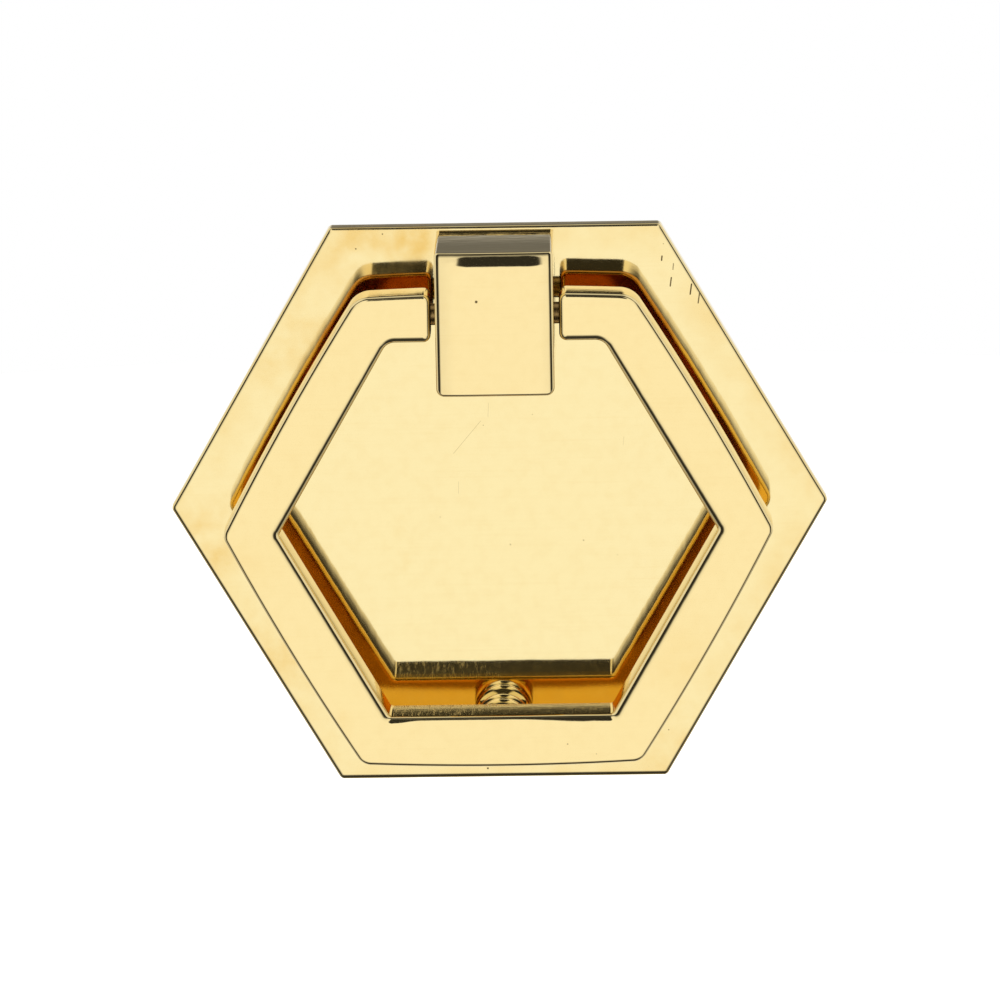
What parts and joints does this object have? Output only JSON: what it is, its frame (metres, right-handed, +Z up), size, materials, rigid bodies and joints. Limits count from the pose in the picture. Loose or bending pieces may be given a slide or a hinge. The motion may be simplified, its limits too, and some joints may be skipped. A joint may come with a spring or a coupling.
{
  "type": "drop pull",
  "caption": "Polished brass drop pull: a hexagonal ring hinged on a solid block in front of a hexagonal backplate, resting on a small turned stop stud.",
  "frame": {"origin": "centre of the fixing hole's mouth on the flat back of the plate", "axes": "+Z up as mounted, +X to the right seen from the front, +Y into the drawer front; the pull faces -Y"},
  "size_m": [0.076, 0.0145, 0.066],
  "materials": {
    "plate_brass": "mirror polished, lightly tarnished",
    "bracket_brass": "mirror polished",
    "ring_brass": "mirror polished",
    "pin_brass": "drawn, plain",
    "stud_brass": "turned and polished"
  },
  "bodies": {
    "base": {"backplate": "plate_brass", "bracket": "bracket_brass", "hinge_pin": "pin_brass", "stop_stud": "stud_brass"},
    "ring": {"drop_ring": "ring_brass"}
  },
  "joints": [
    {"name": "ring_swing", "type": "hinge", "parent": "base", "child": "ring", "pos_m": [0, -0.0085, 0], "axis": [-1, 0, 0], "range_deg": [0, 180]}
  ]
}
